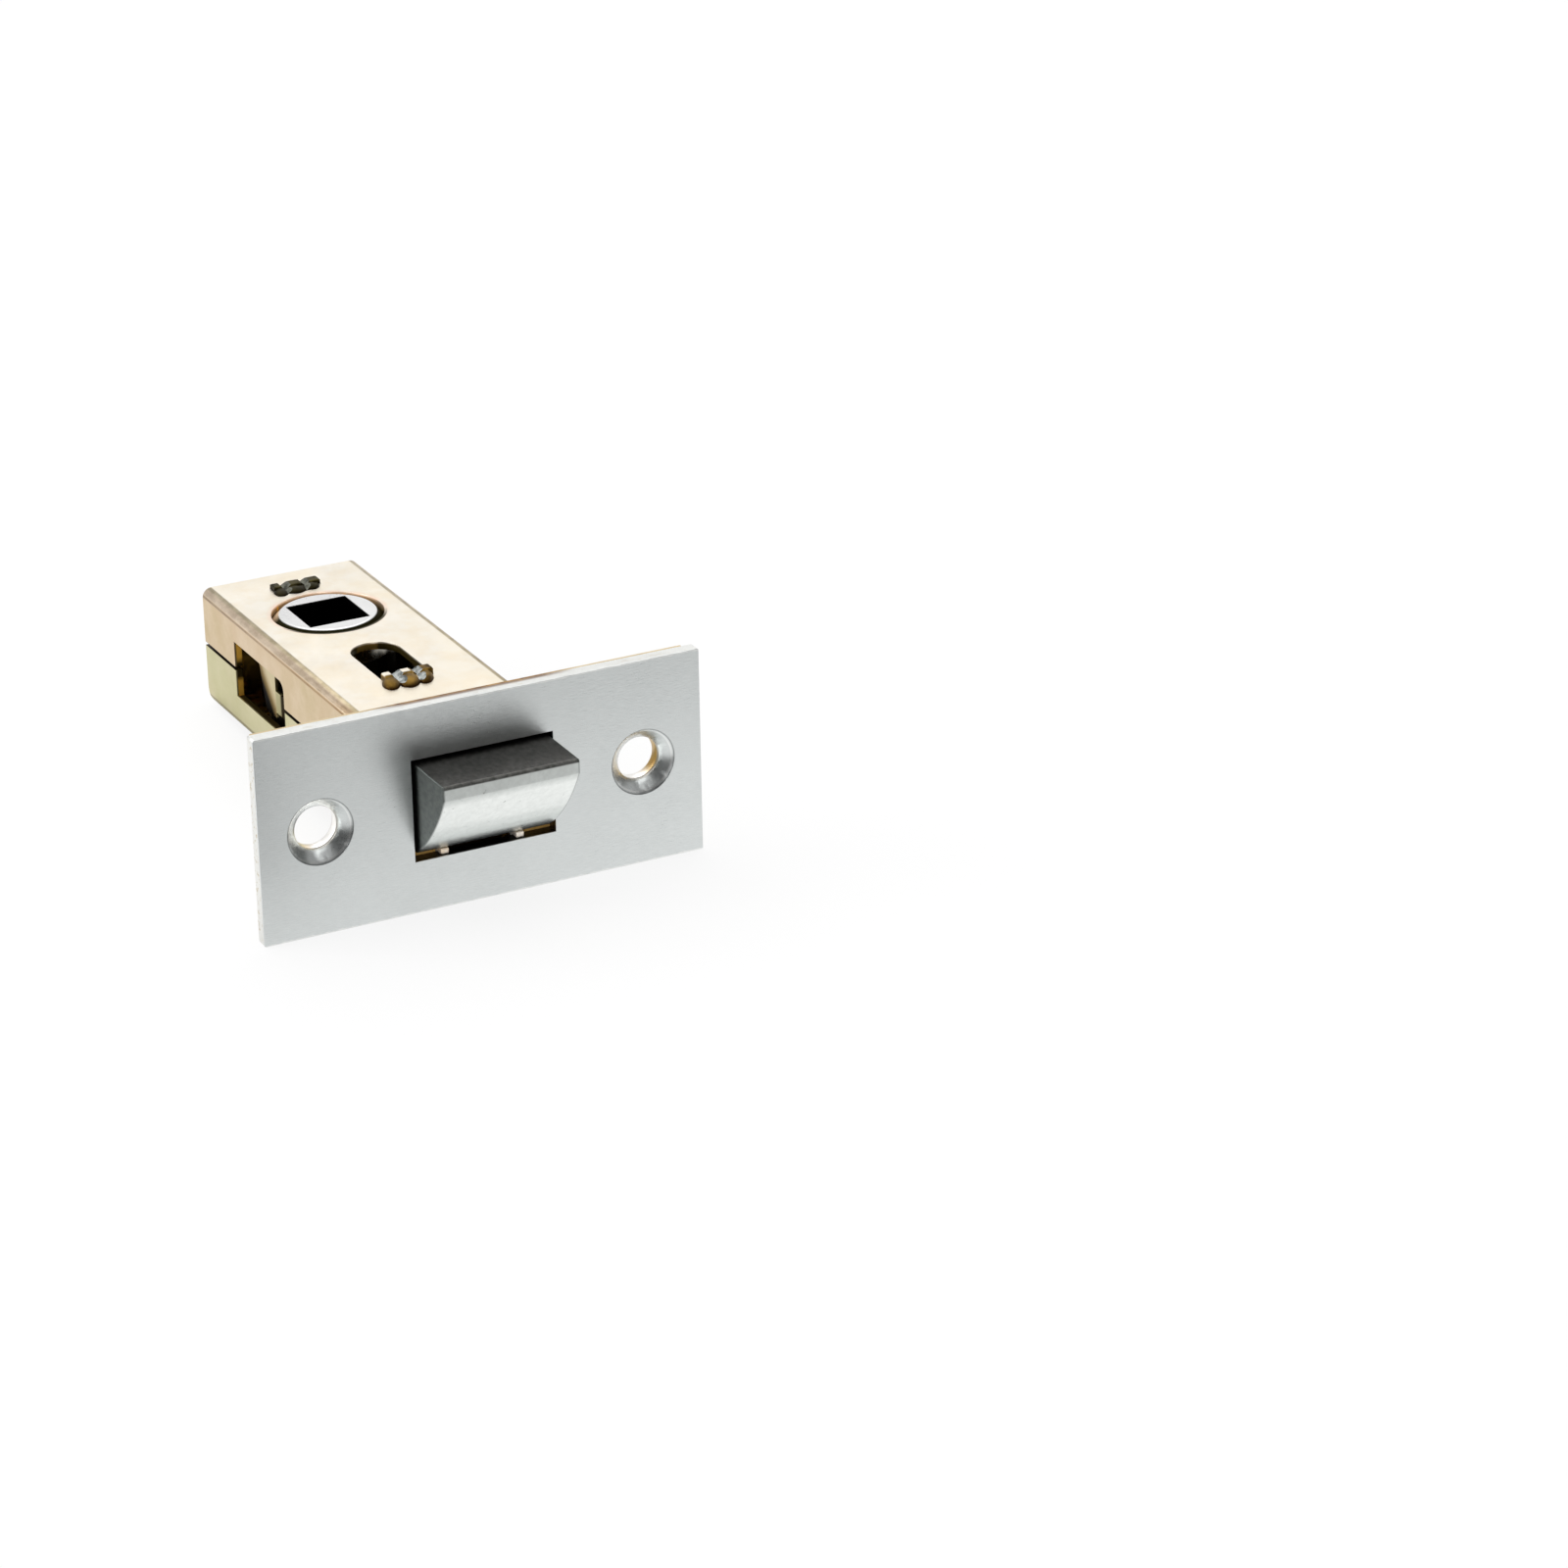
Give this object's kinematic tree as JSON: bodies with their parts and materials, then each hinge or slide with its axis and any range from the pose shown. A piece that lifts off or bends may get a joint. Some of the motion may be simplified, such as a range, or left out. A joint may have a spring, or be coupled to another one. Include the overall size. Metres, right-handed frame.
{
  "type": "tubular door latch",
  "caption": "Tubular mortice door latch: satin faceplate with sprung bevelled bolt, pressed yellow-passivated case, square-hole follower and bolt-through slot.",
  "frame": {"origin": "centre between the two screw holes on the back of the forend plate, where it seats on the door edge", "axes": "+X along the faceplate, +Y from the faceplate into the door, +Z along the spindle"},
  "size_m": [0.057, 0.0695, 0.026],
  "materials": {
    "faceplate": "satin, fine brushing along the plate",
    "passivated_steel": "pale yellow passivated zinc plating",
    "cast_zinc": "satin cast zinc",
    "spring_steel": "bright drawn wire"
  },
  "bodies": {
    "case": {"faceplate": "faceplate", "forend_plate": "passivated_steel", "upper_case": "passivated_steel", "lower_case": "passivated_steel", "front_post": "passivated_steel", "rear_post": "passivated_steel", "bolt_spring": "spring_steel"},
    "bolt": {"latch_bolt": "cast_zinc", "drawbar": "passivated_steel"},
    "follower": {"follower": "cast_zinc"}
  },
  "joints": [
    {"name": "follower_turn", "type": "hinge", "parent": "case", "child": "follower", "pos_m": [0, 0.0427, 0], "axis": [0, 0, 1], "range_deg": [0, 66]},
    {"name": "bolt_slide", "type": "slide", "parent": "case", "child": "bolt", "axis": [0, 1, 0], "range_m": [0, 0.00773], "stiffness_N_per_m": 400, "springref_m": -0.005, "deforming": ["bolt_spring"]}
  ],
  "couplings": [
    {"joint": "follower_turn", "follows": "bolt_slide", "rad_per_m": 148.94}
  ]
}
